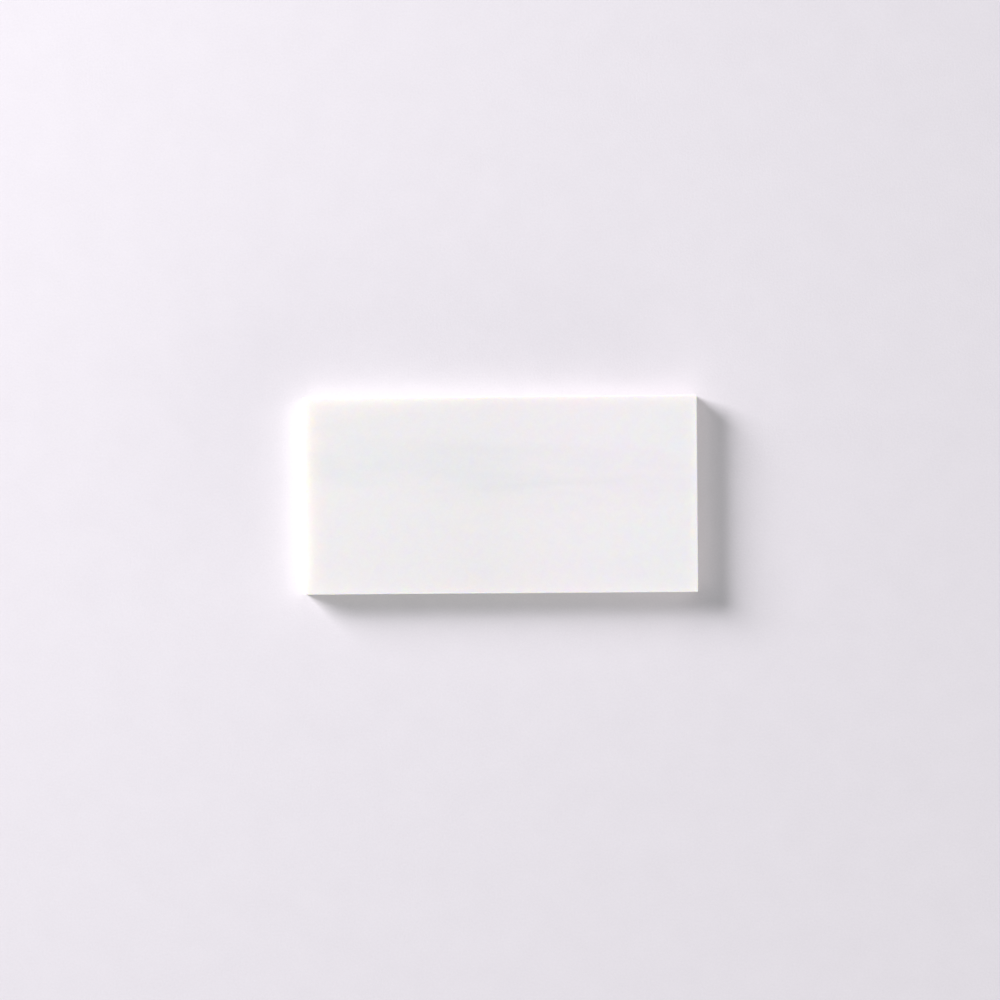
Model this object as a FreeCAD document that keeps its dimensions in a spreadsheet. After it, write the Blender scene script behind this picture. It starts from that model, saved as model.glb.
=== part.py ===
# White marble subway tile: one slab sawn from the block, honed on its face and eased along its edges.
# It lies on its sawn back with the face up. The origin is the middle of the back, X runs along the tile,
# Y across it and Z out of the face. All lengths are in millimetres.

import FreeCAD, Part
import os

import Sketcher

# Driving sizes: alias, value, what it is
SIZES = (
    ("tile_length", 152.4, "along the course, 6 in"),
    ("tile_width", 76.2, "height of one course, 3 in"),
    ("tile_thickness", 9.5, "back to face, 3/8 in"),
    ("face_arris", 0.15, "leg of the bevel rubbed along the face's edges"),
    ("back_arris", 0.1, "leg of the broken edge that the saw leaves along the back"),
    ("corner_round", 0.05, "corner radius left inside the wider of the two arrises"),
)
TOUCH = 1e-6  # two heights closer than this are the same level


def size_sheet(doc):
    """The sheet that every feature's size is bound to."""
    sheet = doc.addObject("Spreadsheet::Sheet", "sizes")
    for row, (alias, value, meaning) in enumerate(SIZES, start=1):
        sheet.set(f"A{row}", meaning)
        sheet.set(f"B{row}", str(value))
        sheet.setAlias(f"B{row}", alias)
    doc.recompute()
    return sheet


def back_outline(body, sheet):
    """The sawn rectangle of the back, centred on the origin, in the level plane."""
    sketch = body.newObject("Sketcher::SketchObject", "back_outline")
    level = next(plane for plane in body.Origin.OriginFeatures if plane.Role == "XY_Plane")
    sketch.AttachmentSupport = (level, [""])
    sketch.MapMode = "FlatFace"

    half_length = sheet.tile_length / 2
    half_width = sheet.tile_width / 2
    corners = [
        FreeCAD.Vector(-half_length, -half_width, 0),
        FreeCAD.Vector(half_length, -half_width, 0),
        FreeCAD.Vector(half_length, half_width, 0),
        FreeCAD.Vector(-half_length, half_width, 0),
    ]
    for start, end in zip(corners, corners[1:] + corners[:1]):
        sketch.addGeometry(Part.LineSegment(start, end), False)

    front, right, rear, left = range(4)
    start_point, end_point = 1, 2
    origin = (-1, 1)
    for line, following in ((front, right), (right, rear), (rear, left), (left, front)):
        sketch.addConstraint(Sketcher.Constraint("Coincident", line, end_point, following, start_point))
    for line in (front, rear):
        sketch.addConstraint(Sketcher.Constraint("Horizontal", line))
    for line in (right, left):
        sketch.addConstraint(Sketcher.Constraint("Vertical", line))
    sketch.addConstraint(Sketcher.Constraint("Symmetric", front, start_point, rear, start_point, *origin))

    driven = (
        ("along", "DistanceX", front, "tile_length"),
        ("across", "DistanceY", right, "tile_width"),
    )
    for name, kind, line, alias in driven:
        span = Sketcher.Constraint(kind, line, start_point, line, end_point, sheet.getPropertyByName(alias))
        sketch.renameConstraint(sketch.addConstraint(span), name)
        sketch.setExpression(f"Constraints.{name}", f"sizes.{alias}")
    body.Document.recompute()
    return sketch


def edge_names(feature, chosen):
    """Names of the feature's edges that the test picks out."""
    return [f"Edge{i}" for i, edge in enumerate(feature.Shape.Edges, start=1) if chosen(edge)]


def is_level_at(height):
    """A test for the edges that lie in the level plane at this height."""
    return lambda edge: all(abs(vertex.Z - height) < TOUCH for vertex in edge.Vertexes)


def is_upright(edge):
    """A test for the four edges between the back and the face."""
    low, high = sorted(vertex.Z for vertex in edge.Vertexes)
    return high - low > TOUCH


def dressed(body, kind, name, base, edges, size, expression):
    """A fillet or chamfer on some edges of the feature before it."""
    feature = body.newObject(kind, name)
    feature.Base = (base, edges)
    feature.setExpression(size, expression)
    body.Document.recompute()
    return feature


def marble_tile(doc, sheet):
    """The tile: sawn slab, rounded upright corners, bevelled face edges and broken back edges."""
    body = doc.addObject("PartDesign::Body", "marble_tile")
    body.Label = "marble_tile"
    outline = back_outline(body, sheet)

    slab = body.newObject("PartDesign::Pad", "sawn_slab")
    slab.Profile = outline
    slab.setExpression("Length", "sizes.tile_thickness")
    doc.recompute()

    # An arris runs on round a corner whose radius is larger than its leg: the radius is built on the wider.
    corner_radius = "max(sizes.face_arris; sizes.back_arris) + sizes.corner_round"
    uprights = edge_names(slab, is_upright)
    eased = dressed(body, "PartDesign::Fillet", "eased_corners", slab, uprights, "Radius", corner_radius)

    face_rim = edge_names(eased, is_level_at(sheet.tile_thickness))
    bevelled = dressed(body, "PartDesign::Chamfer", "face_rim", eased, face_rim, "Size", "sizes.face_arris")

    back_rim = edge_names(bevelled, is_level_at(0))
    dressed(body, "PartDesign::Chamfer", "back_rim", bevelled, back_rim, "Size", "sizes.back_arris")

    body.Placement = FreeCAD.Placement()
    return body


def check(doc, pieces):
    """Stops before anything is written if a feature failed or a piece isn't one sound solid."""
    for item in doc.Objects:
        if {"Invalid", "Error"} & set(item.State):
            raise RuntimeError(f"{item.Label} failed: {item.State}")
    for piece in pieces:
        if piece.Shape.isNull() or not piece.Shape.isValid() or len(piece.Shape.Solids) != 1:
            raise RuntimeError(f"{piece.Label} is not one valid solid")


def main():
    doc = FreeCAD.newDocument("subway_tile")
    sheet = size_sheet(doc)
    pieces = [marble_tile(doc, sheet)]
    doc.recompute()
    check(doc, pieces)
    os.makedirs("parts", exist_ok=True)
    for piece in pieces:
        piece.Shape.exportStep(f"parts/{piece.Label}.step")
        box = piece.Shape.BoundBox
        size = f"{box.XLength:.2f} x {box.YLength:.2f} x {box.ZLength:.2f} mm"
        print(f"{piece.Label}: {size}, {piece.Shape.Volume:.0f} mm3, {len(piece.Shape.Faces)} faces")


main()
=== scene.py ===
"""Looks of a white marble subway tile, lying face up on pale paper.

A low softbox lights it from the upper left. A bounce overhead, a low card and the room fill its shadows.
"""

import math

import bpy
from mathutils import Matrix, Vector


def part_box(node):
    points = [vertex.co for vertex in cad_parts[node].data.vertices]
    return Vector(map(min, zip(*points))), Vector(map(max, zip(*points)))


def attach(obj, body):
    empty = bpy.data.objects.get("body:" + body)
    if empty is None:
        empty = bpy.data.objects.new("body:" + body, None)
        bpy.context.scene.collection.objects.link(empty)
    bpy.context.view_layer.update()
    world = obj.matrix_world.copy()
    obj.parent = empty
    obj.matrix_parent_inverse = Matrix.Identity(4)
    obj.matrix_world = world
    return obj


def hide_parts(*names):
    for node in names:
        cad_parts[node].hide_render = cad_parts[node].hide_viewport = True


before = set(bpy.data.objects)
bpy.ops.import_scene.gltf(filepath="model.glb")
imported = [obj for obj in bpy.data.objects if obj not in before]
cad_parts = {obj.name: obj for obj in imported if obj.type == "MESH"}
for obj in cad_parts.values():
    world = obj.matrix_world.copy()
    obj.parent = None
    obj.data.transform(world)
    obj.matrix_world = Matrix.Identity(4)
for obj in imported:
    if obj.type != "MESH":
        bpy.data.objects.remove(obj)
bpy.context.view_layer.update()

MM = 0.001
IN_MM = (MM, MM, MM)  # the scale of a texture mapping that gives millimetres
TILE_NODE = "marble_tile"
TOUCH = 0.001 * MM  # heights closer than this are the same level


# Helpers for node trees and colours. In a Mix node for colours, the share is input 0, the colours are
# inputs 6 and 7 and the result is output 2; for numbers, they are inputs 2 and 3 and output 0. In a
# Map Range for vectors, the bounds are inputs 7 to 10 and the result is output 1.

NOISE_MIDDLE = (0.5, 0.5, 0.5)


def add_node(tree, kind, inputs=None, **settings):
    """Adds one node with its settings, and feeds its inputs from values or other nodes' sockets."""
    node = tree.nodes.new(kind)
    for name, value in settings.items():
        setattr(node, name, value)
    for key, value in (inputs or {}).items():
        if isinstance(value, bpy.types.NodeSocket):
            tree.links.new(value, node.inputs[key])
        else:
            node.inputs[key].default_value = value
    return node


def linear(hex_colour):
    """An sRGB hex colour as linear red, green, blue and alpha."""
    channels = [int(hex_colour[i:i + 2], 16) / 255 for i in (1, 3, 5)]
    return [c / 12.92 if c <= 0.04045 else ((c + 0.055) / 1.055) ** 2.4 for c in channels] + [1.0]


# Sizes that the tile's solid gives

class TileSizes:
    """Length, width and thickness of the solid, and how far its bevels and corners cut in."""

    def __init__(self, node):
        low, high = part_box(node)
        points = [vertex.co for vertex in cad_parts[node].data.vertices]
        self.length, self.width, self.thickness = high - low
        self.face_arris = high.x - max(p.x for p in points if abs(p.z - high.z) < TOUCH)
        self.back_arris = high.x - max(p.x for p in points if abs(p.z - low.z) < TOUCH)
        self.corner_radius = high.x - max(p.x for p in points if abs(p.y - high.y) < TOUCH)
        self.face_level = high.z


SIZES = TileSizes(TILE_NODE)


# The stone: white marble, close-grained calcite. To the eye it is almost even, with a faint grey-violet bed
# and one thread of seam along the tile. Light enters its lit edges and leaves the face beside them, warm,
# because red goes further in it than blue.

GROUND_WHITE = "#FDF6FB"  # the stone between its beds, at the end without painted shade
BED_VIOLET = "#F8F3F8"  # clay and mica held in the bed
THREAD_GREY = "#F1EDF3"  # the same, denser, in the seam
LIT_END_SHADE = "#F4F9F5"  # painted shade, a little greener, laid over these at the softbox's end to even out its falloff
NO_TINT = "#FFFFFF"
TINT_CLEARS = -5 * MM  # along the tile, from here to the far end, over which the painted shade fades out
MARBLE_IOR = 1.5  # calcite, averaged over its two axes

FREE_PATH = (0.42 * MM, 0.33 * MM, 0.20 * MM)  # how far red, green and blue go between two turns
GLASSY_END = 1.15  # times as far at the end where the stone is glassier
CLOSE_GRAIN = 0.5  # times as far from the middle on
BACK_REACH = 2.5 * MM  # above the back, within which the light's way is cut
BACK_SHARE = 0.2  # of its way that is left at the back
WALK_SCALE = 4 * math.pi  # the renderer divides the radius of its walk by this

SWAY_SIZE = (60 * MM, 30 * MM, 40 * MM)  # the beds bend about once in these lengths
SWAY = 6 * MM  # from side to side, at the most
BED_PLACE = (5 * MM, 8 * MM, 9.5 * MM)  # the bed's middle, where it meets the face
BED_TILT = (math.radians(24), 0, math.radians(-4))  # it dips through the thickness and runs askew of the tile
BED_CORE, BED_END = 2.0, 22.0  # mm from its middle, between which it thins out
BED_BOOST, OPEN_BOOST = 0.22, -0.2  # added to the clouds' noise in its core and outside it
CLOUD_START = (89, 5, 0)  # mm along, across and through the bed, where the clouds' pattern begins
CLOUD_SIZE = (48, 9, 20)  # mm
CLOUD_THIN, CLOUD_DENSE = 0.36, 0.86  # noise at which a cloud begins and is full
SEAM_PLACE = (22 * MM, 4.6 * MM, 9.5 * MM)  # the seam's middle, where it meets the face
SEAM_TILT = (math.radians(24), 0, math.radians(2))
SEAM_HALF = 2.6  # mm, half its width
SEAM_FULL, SEAM_END = 12.0, 56.0  # mm along it from its middle, between which it dies out
SEAM_SHARE = 0.5  # of its grey where it is strongest
WISP_SIZE = (14, 1.6, 6)  # mm along, across and through the seam


def marble_body(tree):
    """Place, colour and reach of light at a point of the block. Beds run on from the face to the edges."""
    place = add_node(tree, "ShaderNodeTexCoord").outputs["Object"]

    # The beds sway by a millimetre or two over a hand's breadth.
    bend = add_node(tree, "ShaderNodeMapping", {
        "Vector": place, "Scale": SWAY_SIZE}, vector_type="TEXTURE").outputs[0]
    sway = add_node(tree, "ShaderNodeTexNoise", {
        "Vector": bend, "Scale": 1.0, "Detail": 2.0, "Roughness": 0.45}).outputs["Color"]
    centred = add_node(tree, "ShaderNodeVectorMath", {
        0: sway, 1: NOISE_MIDDLE}, operation="SUBTRACT").outputs[0]
    swayed = add_node(tree, "ShaderNodeVectorMath", {
        0: centred, 1: (0, SWAY, 0), 2: place}, operation="MULTIPLY_ADD").outputs[0]

    # Clouds of darker stone lie along the bed, long and thin, and thin out away from it.
    bed = add_node(tree, "ShaderNodeMapping", {
        "Vector": swayed, "Location": BED_PLACE, "Rotation": BED_TILT, "Scale": IN_MM},
        vector_type="TEXTURE").outputs[0]
    across = add_node(tree, "ShaderNodeSeparateXYZ", {0: bed}).outputs["Y"]
    off_bed = add_node(tree, "ShaderNodeMath", {0: across}, operation="ABSOLUTE").outputs[0]
    boost = add_node(tree, "ShaderNodeMapRange", {
        "Value": off_bed, "From Min": BED_CORE, "From Max": BED_END,
        "To Min": BED_BOOST, "To Max": OPEN_BOOST}).outputs[0]
    streak = add_node(tree, "ShaderNodeMapping", {
        "Vector": bed, "Location": CLOUD_START, "Scale": CLOUD_SIZE}, vector_type="TEXTURE").outputs[0]
    clouds = add_node(tree, "ShaderNodeTexNoise", {
        "Vector": streak, "Scale": 1.0, "Detail": 5.0, "Roughness": 0.55}).outputs["Fac"]
    cloudy = add_node(tree, "ShaderNodeMath", {0: clouds, 1: boost}, operation="ADD").outputs[0]
    cloud_share = add_node(tree, "ShaderNodeMapRange", {
        "Value": cloudy, "From Min": CLOUD_THIN, "From Max": CLOUD_DENSE},
        interpolation_type="SMOOTHSTEP").outputs[0]
    clouded = add_node(tree, "ShaderNodeMix", {
        0: cloud_share, 6: linear(GROUND_WHITE), 7: linear(BED_VIOLET)}, data_type="RGBA").outputs[2]

    # One thread of grey runs at a low angle to the bed, in wisps, and dies out before the ends.
    seam = add_node(tree, "ShaderNodeMapping", {
        "Vector": swayed, "Location": SEAM_PLACE, "Rotation": SEAM_TILT, "Scale": IN_MM},
        vector_type="TEXTURE").outputs[0]
    seam_axes = add_node(tree, "ShaderNodeSeparateXYZ", {0: seam}).outputs
    from_middle = add_node(tree, "ShaderNodeMath", {0: seam_axes["X"]}, operation="ABSOLUTE").outputs[0]
    off_seam = add_node(tree, "ShaderNodeMath", {0: seam_axes["Y"]}, operation="ABSOLUTE").outputs[0]
    on_seam = add_node(tree, "ShaderNodeMapRange", {
        "Value": off_seam, "From Max": SEAM_HALF, "To Min": 1.0, "To Max": 0.0},
        interpolation_type="SMOOTHERSTEP").outputs[0]
    lasting = add_node(tree, "ShaderNodeMapRange", {
        "Value": from_middle, "From Min": SEAM_FULL, "From Max": SEAM_END,
        "To Min": SEAM_SHARE, "To Max": 0.0}, interpolation_type="SMOOTHSTEP").outputs[0]
    drawn_out = add_node(tree, "ShaderNodeMapping", {
        "Vector": seam, "Scale": WISP_SIZE}, vector_type="TEXTURE").outputs[0]
    wisps = add_node(tree, "ShaderNodeTexNoise", {
        "Vector": drawn_out, "Scale": 1.0, "Detail": 3.0}).outputs["Fac"]
    seam_share = add_node(tree, "ShaderNodeMath", {0: on_seam, 1: lasting}, operation="MULTIPLY").outputs[0]
    wispy = add_node(tree, "ShaderNodeMath", {0: seam_share, 1: wisps}, operation="MULTIPLY").outputs[0]
    threaded = add_node(tree, "ShaderNodeMix", {
        0: wispy, 6: clouded, 7: linear(THREAD_GREY)}, data_type="RGBA").outputs[2]

    # The face is painted a little darker and greener towards the softbox's end, a painted shade that evens
    # out the lamp's falloff along it; the stone is also glassier at that end.
    tile_axes = add_node(tree, "ShaderNodeSeparateXYZ", {0: place}).outputs
    shade_fade = add_node(tree, "ShaderNodeMapRange", {
        "Value": tile_axes["X"], "From Min": TINT_CLEARS, "From Max": SIZES.length / 2}).outputs[0]
    painted_end_shade = add_node(tree, "ShaderNodeMix", {
        0: shade_fade, 6: linear(LIT_END_SHADE), 7: linear(NO_TINT)}, data_type="RGBA").outputs[2]
    colour = add_node(tree, "ShaderNodeVectorMath", {0: threaded, 1: painted_end_shade}, operation="MULTIPLY").outputs[0]
    glassy = add_node(tree, "ShaderNodeMapRange", {
        "Value": tile_axes["X"], "From Min": -SIZES.length / 2, "From Max": 0.0,
        "To Min": GLASSY_END * WALK_SCALE, "To Max": CLOSE_GRAIN * WALK_SCALE}).outputs[0]

    # Close to the back, what lies under the tile returns the light that would leave the stone there.
    kept = add_node(tree, "ShaderNodeMapRange", {
        "Value": tile_axes["Z"], "From Max": BACK_REACH, "To Min": BACK_SHARE}).outputs[0]
    reach = add_node(tree, "ShaderNodeMath", {0: glassy, 1: kept}, operation="MULTIPLY").outputs[0]
    return place, colour, reach


def marble(name, roughness, tone, relief):
    """One finish of the marble. Its relief gives a height in metres, and a wear for roughness and tone."""
    material = bpy.data.materials.new(name)
    material.use_nodes = True
    tree = material.node_tree
    tree.nodes.clear()
    place, colour, reach = marble_body(tree)
    height, wear = relief(tree, place)
    rough = add_node(tree, "ShaderNodeMapRange", {
        "Value": wear, "To Min": roughness[0], "To Max": roughness[1]}).outputs[0]
    shade = add_node(tree, "ShaderNodeMix", {
        0: wear, 6: linear(tone[0]), 7: linear(tone[1])}, data_type="RGBA").outputs[2]
    toned = add_node(tree, "ShaderNodeVectorMath", {0: colour, 1: shade}, operation="MULTIPLY").outputs[0]
    bump = add_node(tree, "ShaderNodeBump", {"Height": height, "Strength": 1.0, "Distance": 1.0}).outputs[0]
    shader = add_node(tree, "ShaderNodeBsdfPrincipled", {
        "Base Color": toned, "Roughness": rough, "Normal": bump, "IOR": MARBLE_IOR,
        "Subsurface Weight": 1.0, "Subsurface Radius": FREE_PATH, "Subsurface Scale": reach})
    add_node(tree, "ShaderNodeOutputMaterial", {"Surface": shader.outputs[0]})
    return material


# The finishes: how each side of the stone was worked

CRYSTAL_WIDTH = 0.6 * MM  # real ones are 0.2 mm wide; these are coarser, so that they show
CRYSTAL_STEP = 0.0015 * MM  # from one to the next
GRIT_SHARE = 0.4  # of the grit's roughness beside the saw's marks
WEAR_NONE, WEAR_FULL = 0.45, 0.95  # marks and grit together, from the lowest spots to the highest
BLADE_RADIUS = 150 * MM
BLADE_RUN_OUT = 1 * MM  # how far the blade cuts below the back
DISC_CENTRE = (90 * MM, -640 * MM, 0)


def honed_relief(tree, place):
    """Flat from fine grit, with crystals that stand a micrometre or two apart."""
    crystals = add_node(tree, "ShaderNodeTexVoronoi", {
        "Vector": place, "Scale": 1 / CRYSTAL_WIDTH}).outputs["Color"]
    crystal = add_node(tree, "ShaderNodeSeparateXYZ", {0: crystals}).outputs["X"]
    height = add_node(tree, "ShaderNodeMath", {0: crystal, 1: CRYSTAL_STEP}, operation="MULTIPLY").outputs[0]
    return height, crystal


def sawn_relief(tree, place, travel, mark_width, grit_width, depth):
    """Marks that follow one another along the blade's travel, with the grit's own roughness over them."""
    marks = add_node(tree, "ShaderNodeTexNoise", {
        "W": travel, "Scale": 1 / mark_width, "Detail": 4.0, "Roughness": 0.6},
        noise_dimensions="1D").outputs["Fac"]
    grit = add_node(tree, "ShaderNodeTexNoise", {
        "Vector": place, "Scale": 1 / grit_width, "Detail": 3.0}).outputs["Fac"]
    cut = add_node(tree, "ShaderNodeMath", {
        0: grit, 1: GRIT_SHARE, 2: marks}, operation="MULTIPLY_ADD").outputs[0]
    wear = add_node(tree, "ShaderNodeMapRange", {
        "Value": cut, "From Min": WEAR_NONE, "From Max": WEAR_FULL}).outputs[0]
    height = add_node(tree, "ShaderNodeMath", {0: cut, 1: depth}, operation="MULTIPLY").outputs[0]
    return height, wear


def blade_relief(tree, place):
    """Shallow arcs that climb along the edge, from a diamond blade 300 mm across."""
    x, y, z = add_node(tree, "ShaderNodeSeparateXYZ", {0: place}).outputs
    lift = add_node(tree, "ShaderNodeMath", {0: z, 1: BLADE_RUN_OUT}, operation="ADD").outputs[0]
    squared = add_node(tree, "ShaderNodeMath", {
        0: lift, 1: 2 * BLADE_RADIUS}, operation="MULTIPLY").outputs[0]
    lead = add_node(tree, "ShaderNodeMath", {0: squared}, operation="SQRT").outputs[0]
    along = add_node(tree, "ShaderNodeMath", {0: x, 1: y}, operation="ADD").outputs[0]
    travel = add_node(tree, "ShaderNodeMath", {0: along, 1: lead}, operation="SUBTRACT").outputs[0]
    return sawn_relief(tree, place, travel, mark_width=2.2 * MM, grit_width=0.5 * MM, depth=0.030 * MM)


def disc_relief(tree, place):
    """Wide arcs from the disc, over a metre across, that sawed the slab from the block."""
    travel = add_node(tree, "ShaderNodeVectorMath", {
        0: place, 1: DISC_CENTRE}, operation="DISTANCE").outputs["Value"]
    return sawn_relief(tree, place, travel, mark_width=3.2 * MM, grit_width=0.7 * MM, depth=0.060 * MM)


# The tile's shape: a slab on a fine grid, with its arrises rubbed round

RIM_LINES = 8  # grid lines in the rim, so that a rounded arris takes four of them
RIM_WIDTH = 0.3 * MM
GRID_STEP = 1.2 * MM
FACE_FROM = 0.3  # upward part of the normal, above which a spot is honed with the face
BACK_FROM = -0.6  # below which it is sawn with the back


def slab_tree():
    """A tree that makes a box of grid faces, packs its lines at the rims and rounds its edges."""
    tree = bpy.data.node_groups.new("rubbed_slab", "GeometryNodeTree")
    sockets = (
        ("Length", "NodeSocketFloat"),
        ("Width", "NodeSocketFloat"),
        ("Thickness", "NodeSocketFloat"),
        ("Lines along", "NodeSocketInt"),
        ("Lines across", "NodeSocketInt"),
        ("Lines through", "NodeSocketInt"),
        ("Rim lines", "NodeSocketInt"),
        ("Rim width", "NodeSocketFloat"),
        ("Corner radius", "NodeSocketFloat"),
        ("Face arris", "NodeSocketFloat"),
        ("Back arris", "NodeSocketFloat"),
        ("Face finish", "NodeSocketMaterial"),
        ("Edge finish", "NodeSocketMaterial"),
        ("Back finish", "NodeSocketMaterial"),
    )
    for name, kind in sockets:
        tree.interface.new_socket(name, in_out="INPUT", socket_type=kind)
    tree.interface.new_socket("Slab", in_out="OUTPUT", socket_type="NodeSocketGeometry")
    given = add_node(tree, "NodeGroupInput").outputs

    box = add_node(tree, "GeometryNodeMeshCube", {
        "Size": (2, 2, 2), "Vertices X": given["Lines along"], "Vertices Y": given["Lines across"],
        "Vertices Z": given["Lines through"]}).outputs["Mesh"]
    unit = add_node(tree, "GeometryNodeInputPosition").outputs[0]
    side = add_node(tree, "ShaderNodeVectorMath", {0: unit}, operation="SIGN").outputs[0]
    share = add_node(tree, "ShaderNodeVectorMath", {0: unit}, operation="ABSOLUTE").outputs[0]

    # Half sizes, and the share of the unit box where the rim's lines start
    whole = add_node(tree, "ShaderNodeCombineXYZ", {
        "X": given["Length"], "Y": given["Width"], "Z": given["Thickness"]}).outputs[0]
    half = add_node(tree, "ShaderNodeVectorMath", {0: whole, "Scale": 0.5}, operation="SCALE").outputs[0]
    lines = add_node(tree, "ShaderNodeCombineXYZ", {
        "X": given["Lines along"], "Y": given["Lines across"], "Z": given["Lines through"]}).outputs[0]
    cells = add_node(tree, "ShaderNodeVectorMath", {0: lines, 1: (1, 1, 1)}, operation="SUBTRACT").outputs[0]
    rims = add_node(tree, "ShaderNodeCombineXYZ", {
        "X": given["Rim lines"], "Y": given["Rim lines"], "Z": given["Rim lines"]}).outputs[0]
    rim_share = add_node(tree, "ShaderNodeVectorMath", {0: rims, 1: cells}, operation="DIVIDE").outputs[0]
    knee = add_node(tree, "ShaderNodeVectorMath", {
        0: rim_share, 1: (-2, -2, -2), 2: (1, 1, 1)}, operation="MULTIPLY_ADD").outputs[0]
    rim = add_node(tree, "ShaderNodeCombineXYZ", {
        "X": given["Rim width"], "Y": given["Rim width"], "Z": given["Rim width"]}).outputs[0]
    field = add_node(tree, "ShaderNodeVectorMath", {0: half, 1: rim}, operation="SUBTRACT").outputs[0]

    # Even steps over the field, then finer even steps over the rim
    in_field = add_node(tree, "ShaderNodeMapRange", {
        "Vector": share, 7: (0, 0, 0), 8: knee, 9: (0, 0, 0), 10: field}, data_type="FLOAT_VECTOR").outputs[1]
    in_rim = add_node(tree, "ShaderNodeMapRange", {
        "Vector": share, 7: knee, 8: (1, 1, 1), 9: (0, 0, 0), 10: rim}, data_type="FLOAT_VECTOR").outputs[1]
    spread = add_node(tree, "ShaderNodeVectorMath", {0: in_field, 1: in_rim}, operation="ADD").outputs[0]

    # A bevel that is rubbed round has a radius of about its leg.
    height = add_node(tree, "ShaderNodeSeparateXYZ", {0: unit}).outputs["Z"]
    leg = add_node(tree, "ShaderNodeMapRange", {
        "Value": height, "From Min": -1.0, "From Max": 1.0, "To Min": given["Back arris"],
        "To Max": given["Face arris"]}).outputs[0]
    radius = add_node(tree, "ShaderNodeCombineXYZ", {
        "X": given["Corner radius"], "Y": given["Corner radius"], "Z": leg}).outputs[0]

    # Each point past the core is drawn onto an arc about it.
    core = add_node(tree, "ShaderNodeVectorMath", {0: half, 1: radius}, operation="SUBTRACT").outputs[0]
    past = add_node(tree, "ShaderNodeVectorMath", {0: spread, 1: core}, operation="SUBTRACT").outputs[0]
    past = add_node(tree, "ShaderNodeVectorMath", {0: past, 1: (0, 0, 0)}, operation="MAXIMUM").outputs[0]
    past = add_node(tree, "ShaderNodeVectorMath", {0: past, 1: radius}, operation="DIVIDE").outputs[0]
    outward = add_node(tree, "ShaderNodeVectorMath", {0: past}, operation="NORMALIZE").outputs[0]
    within = add_node(tree, "ShaderNodeVectorMath", {0: spread, 1: core}, operation="MINIMUM").outputs[0]
    rounded = add_node(tree, "ShaderNodeVectorMath", {
        0: radius, 1: outward, 2: within}, operation="MULTIPLY_ADD").outputs[0]
    lift = add_node(tree, "ShaderNodeVectorMath", {0: half, 1: (0, 0, 1)}, operation="MULTIPLY").outputs[0]
    placed = add_node(tree, "ShaderNodeVectorMath", {
        0: rounded, 1: side, 2: lift}, operation="MULTIPLY_ADD").outputs[0]
    shaped = add_node(tree, "GeometryNodeSetPosition", {"Geometry": box, "Position": placed}).outputs[0]
    smooth = add_node(tree, "GeometryNodeSetShadeSmooth", {"Geometry": shaped}).outputs[0]
    real = add_node(tree, "GeometryNodeRealizeInstances", {"Geometry": smooth}).outputs[0]

    # Honing takes in the face's arris, the disc's finish is on the back alone, and the rest is edge.
    normal = add_node(tree, "GeometryNodeInputNormal").outputs[0]
    facing = add_node(tree, "ShaderNodeSeparateXYZ", {0: normal}).outputs["Z"]
    up = add_node(tree, "FunctionNodeCompare", {0: facing, 1: FACE_FROM}, operation="GREATER_THAN").outputs[0]
    down = add_node(tree, "FunctionNodeCompare", {0: facing, 1: BACK_FROM}, operation="LESS_THAN").outputs[0]
    finished = add_node(tree, "GeometryNodeSetMaterial", {
        "Geometry": real, "Material": given["Edge finish"]}).outputs[0]
    for where, finish in ((up, "Face finish"), (down, "Back finish")):
        finished = add_node(tree, "GeometryNodeSetMaterial", {
            "Geometry": finished, "Selection": where, "Material": given[finish]}).outputs[0]
    add_node(tree, "NodeGroupOutput", {"Slab": finished})
    return tree


def grid_lines(span):
    """Lines over one span: even steps of about the grid's over the field, and the two rims."""
    field_steps = max(1, round((span - 2 * RIM_WIDTH) / GRID_STEP))
    return field_steps + 2 * RIM_LINES + 1


def dressed_tile(finishes):
    """The tile as one plain mesh, in the place of the solid."""
    tree = slab_tree()
    host = bpy.data.objects.new("slab_host", bpy.data.meshes.new("slab_host"))
    bpy.context.scene.collection.objects.link(host)
    modifier = host.modifiers.new("rubbed_slab", "NODES")
    modifier.node_group = tree
    values = {
        "Length": SIZES.length,
        "Width": SIZES.width,
        "Thickness": SIZES.thickness,
        "Lines along": grid_lines(SIZES.length),
        "Lines across": grid_lines(SIZES.width),
        "Lines through": grid_lines(SIZES.thickness),
        "Rim lines": RIM_LINES,
        "Rim width": RIM_WIDTH,
        "Corner radius": SIZES.corner_radius,
        "Face arris": SIZES.face_arris,
        "Back arris": SIZES.back_arris,
        **finishes,
    }
    for item in tree.interface.items_tree:
        if item.in_out == "INPUT":
            modifier[item.identifier] = values[item.name]
    evaluated = host.evaluated_get(bpy.context.evaluated_depsgraph_get())
    mesh = bpy.data.meshes.new_from_object(evaluated)
    bpy.data.objects.remove(host)
    tile = bpy.data.objects.new("honed_marble_tile", mesh)
    bpy.context.scene.collection.objects.link(tile)
    return tile


tile = dressed_tile({
    # Marble honed with fine grit: even and silky, with a soft sheen and no mirror image in it
    "Face finish": marble(
        "honed_marble_face", roughness=(0.30, 0.42), tone=("#FDFDFD", "#FFFFFF"), relief=honed_relief),
    # Marble cut by a wet diamond blade: duller and a little creamier, with fine arcs across it
    "Edge finish": marble(
        "blade_cut_marble_edge", roughness=(0.66, 0.48), tone=("#EBEDE4", "#F3F6EC"), relief=blade_relief),
    # Marble sawn from the block and left so: chalky and dull, with wide arcs
    "Back finish": marble(
        "disc_sawn_marble_back", roughness=(0.78, 0.58), tone=("#F3F3F3", "#FFFFFF"), relief=disc_relief),
})
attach(tile, "root")
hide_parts(TILE_NODE)


# The stage: a sheet of pale paper, and the lamps

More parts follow.
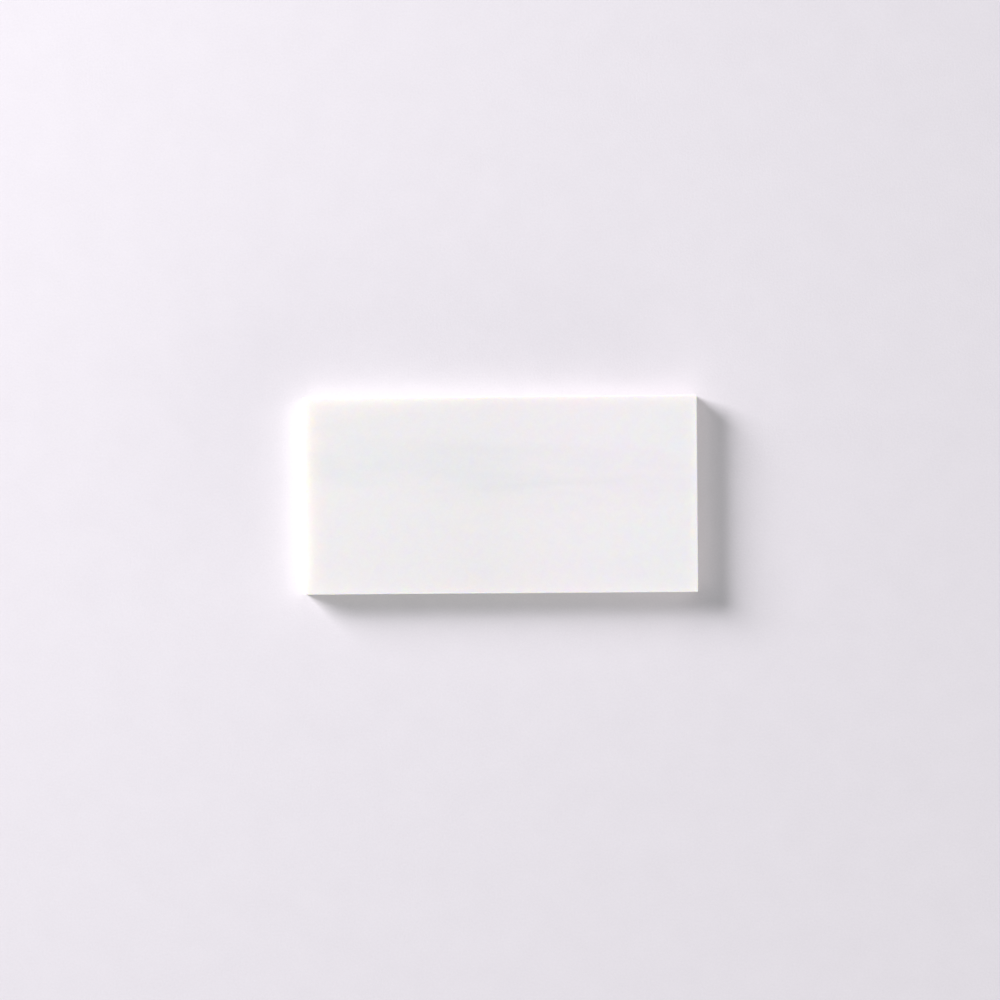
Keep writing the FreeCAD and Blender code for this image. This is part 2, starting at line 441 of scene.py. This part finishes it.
PAPER_WHITE = "#F2EEF4"
PAPER_SHADE = "#E6E2E8"
PAPER_SIDE = 8.0
PAPER_GAP = 0.02 * MM  # keeps the paper just clear of the tile's back
FAR_FROM, FAR_TO = 0.3, 0.9  # from the tile's middle, between which the paper turns into the backdrop
MOTTLE_SIZE = 14 * MM
MOTTLE_SHARE = 0.4  # of the mottle beside the tooth in the paper's tone
TOOTH_SIZE = 0.8 * MM  # coarser than a real tooth of 0.2 mm, so that it shows
TOOTH_DEPTH = 0.05 * MM
FILL = 0.215  # share of the paper's light that comes from all round
FILL_WHITE = "#F9FDFC"


def seen_rays(tree):
    """1 for the rays that a camera sees, in sheen and glass too, and 0 for those that only carry light."""
    path = add_node(tree, "ShaderNodeLightPath").outputs
    seen = path["Is Camera Ray"]
    for kind in ("Is Glossy Ray", "Is Transmission Ray"):
        seen = add_node(tree, "ShaderNodeMath", {0: seen, 1: path[kind]}, operation="MAXIMUM").outputs[0]
    return seen


def paper():
    """Smooth coloured paper, rolled: matt and even, with a soft mottle in its tone and a fine tooth."""
    material = bpy.data.materials.new("studio_paper")
    material.use_nodes = True
    tree = material.node_tree
    tree.nodes.clear()
    place = add_node(tree, "ShaderNodeTexCoord").outputs["Object"]
    mottle = add_node(tree, "ShaderNodeTexNoise", {
        "Vector": place, "Scale": 1 / MOTTLE_SIZE, "Detail": 4.0}).outputs["Fac"]
    tooth = add_node(tree, "ShaderNodeTexNoise", {
        "Vector": place, "Scale": 1 / TOOTH_SIZE, "Detail": 2.0}).outputs["Fac"]
    grain = add_node(tree, "ShaderNodeMix", {0: MOTTLE_SHARE, 2: tooth, 3: mottle}).outputs[0]
    tone = add_node(tree, "ShaderNodeMix", {
        0: grain, 6: linear(PAPER_WHITE), 7: linear(PAPER_SHADE)}, data_type="RGBA").outputs[2]
    bump = add_node(tree, "ShaderNodeBump", {
        "Height": tooth, "Strength": 1.0, "Distance": TOOTH_DEPTH}).outputs[0]
    shader = add_node(tree, "ShaderNodeBsdfPrincipled", {
        "Base Color": tone, "Roughness": 0.9, "Specular IOR Level": 0.2, "Normal": bump}).outputs[0]

    # Behind the lamps the paper would be dark, so far from the tile the backdrop shows in its place.
    away = add_node(tree, "ShaderNodeVectorMath", {0: place}, operation="LENGTH").outputs["Value"]
    far = add_node(tree, "ShaderNodeMapRange", {
        "Value": away, "From Min": FAR_FROM, "From Max": FAR_TO}, interpolation_type="SMOOTHSTEP").outputs[0]
    gone = add_node(tree, "ShaderNodeMath", {0: far, 1: seen_rays(tree)}, operation="MULTIPLY").outputs[0]
    clear = add_node(tree, "ShaderNodeBsdfTransparent").outputs[0]
    mixed = add_node(tree, "ShaderNodeMixShader", {0: gone, 1: shader, 2: clear}).outputs[0]
    add_node(tree, "ShaderNodeOutputMaterial", {"Surface": mixed})
    return material


def paper_floor():
    """A wide flat sheet under the tile."""
    half = PAPER_SIDE / 2
    level = -PAPER_GAP
    mesh = bpy.data.meshes.new("paper_floor")
    corners = [(-half, -half, level), (half, -half, level), (half, half, level), (-half, half, level)]
    mesh.from_pydata(corners, [], [(0, 1, 2, 3)])
    mesh.materials.append(paper())
    floor = bpy.data.objects.new("paper_floor", mesh)
    bpy.context.scene.collection.objects.link(floor)


def area_lamp(name, colour, share, distance, size, height, turn=0):
    """An area lamp that faces the tile, as strong as gives the paper there its share of light.

    Its height is in degrees above the paper, and its turn in degrees anticlockwise from the tile's length.
    """
    rise, swing = math.radians(height), math.radians(turn)
    out = math.cos(rise)
    direction = Vector((out * math.cos(swing), out * math.sin(swing), math.sin(rise)))
    data = bpy.data.lights.new(name, "AREA")
    data.color = linear(colour)[:3]
    data.shape = "RECTANGLE"
    data.size, data.size_y = size
    data.energy = share * (math.pi * distance) ** 2 / math.sin(rise)
    lamp = bpy.data.objects.new(name, data)
    lamp.location = direction * distance
    lamp.rotation_euler = direction.to_track_quat("Z", "Y").to_euler()
    lamp.visible_camera = False
    lamp.visible_glossy = False  # the pale face would clip to white in their sheen
    bpy.context.scene.collection.objects.link(lamp)


def room_fill():
    """An even, faintly green-white fill, behind which a camera sees the paper's own white."""
    world = bpy.data.worlds.new("room_fill")
    world.use_nodes = True
    tree = world.node_tree
    tree.nodes.clear()
    fill = add_node(tree, "ShaderNodeBackground", {"Color": linear(FILL_WHITE), "Strength": FILL}).outputs[0]
    backdrop = add_node(tree, "ShaderNodeBackground", {
        "Color": linear(PAPER_WHITE), "Strength": 1.0}).outputs[0]
    mixed = add_node(tree, "ShaderNodeMixShader", {0: seen_rays(tree), 1: fill, 2: backdrop}).outputs[0]
    add_node(tree, "ShaderNodeOutputWorld", {"Surface": mixed})
    bpy.context.scene.world = world


paper_floor()
area_lamp("softbox", "#FFFCFF", share=0.648, distance=2.4, size=(1.08, 1.08), height=24.6, turn=148.2)
area_lamp("ceiling_bounce", FILL_WHITE, share=0.13, distance=0.75, size=(0.6, 0.6), height=90)
area_lamp("low_card", "#FDFBF8", share=0.105, distance=1.2, size=(1.9, 0.27), height=7, turn=-43)
room_fill()


# The camera: straight above, a little off the tile's middle and turned a little

IMAGE_SIDE = 1000  # pixels
TILE_CENTRE_PX = (500.3, 494.75)
TILE_LENGTH_PX = 394.2
CAMERA_TURN = math.radians(-0.43)
CAMERA_HEIGHT = 1.3  # above the tile's face
SENSOR_WIDTH = 36.0  # mm


def camera():
    """A long lens that gives the tile its length and place in the picture."""
    pixel = SIZES.length / TILE_LENGTH_PX
    offset = Vector((IMAGE_SIDE / 2 - TILE_CENTRE_PX[0], TILE_CENTRE_PX[1] - IMAGE_SIDE / 2, 0)) * pixel
    data = bpy.data.cameras.new("camera")
    data.sensor_width = SENSOR_WIDTH
    data.lens = SENSOR_WIDTH * CAMERA_HEIGHT / (IMAGE_SIDE * pixel)
    eye = bpy.data.objects.new("camera", data)
    eye.location = (offset.x, offset.y, SIZES.face_level + CAMERA_HEIGHT)
    eye.rotation_euler = (0, 0, CAMERA_TURN)
    bpy.context.scene.collection.objects.link(eye)
    bpy.context.scene.camera = eye


camera()
bpy.context.scene.view_settings.view_transform = "Standard"
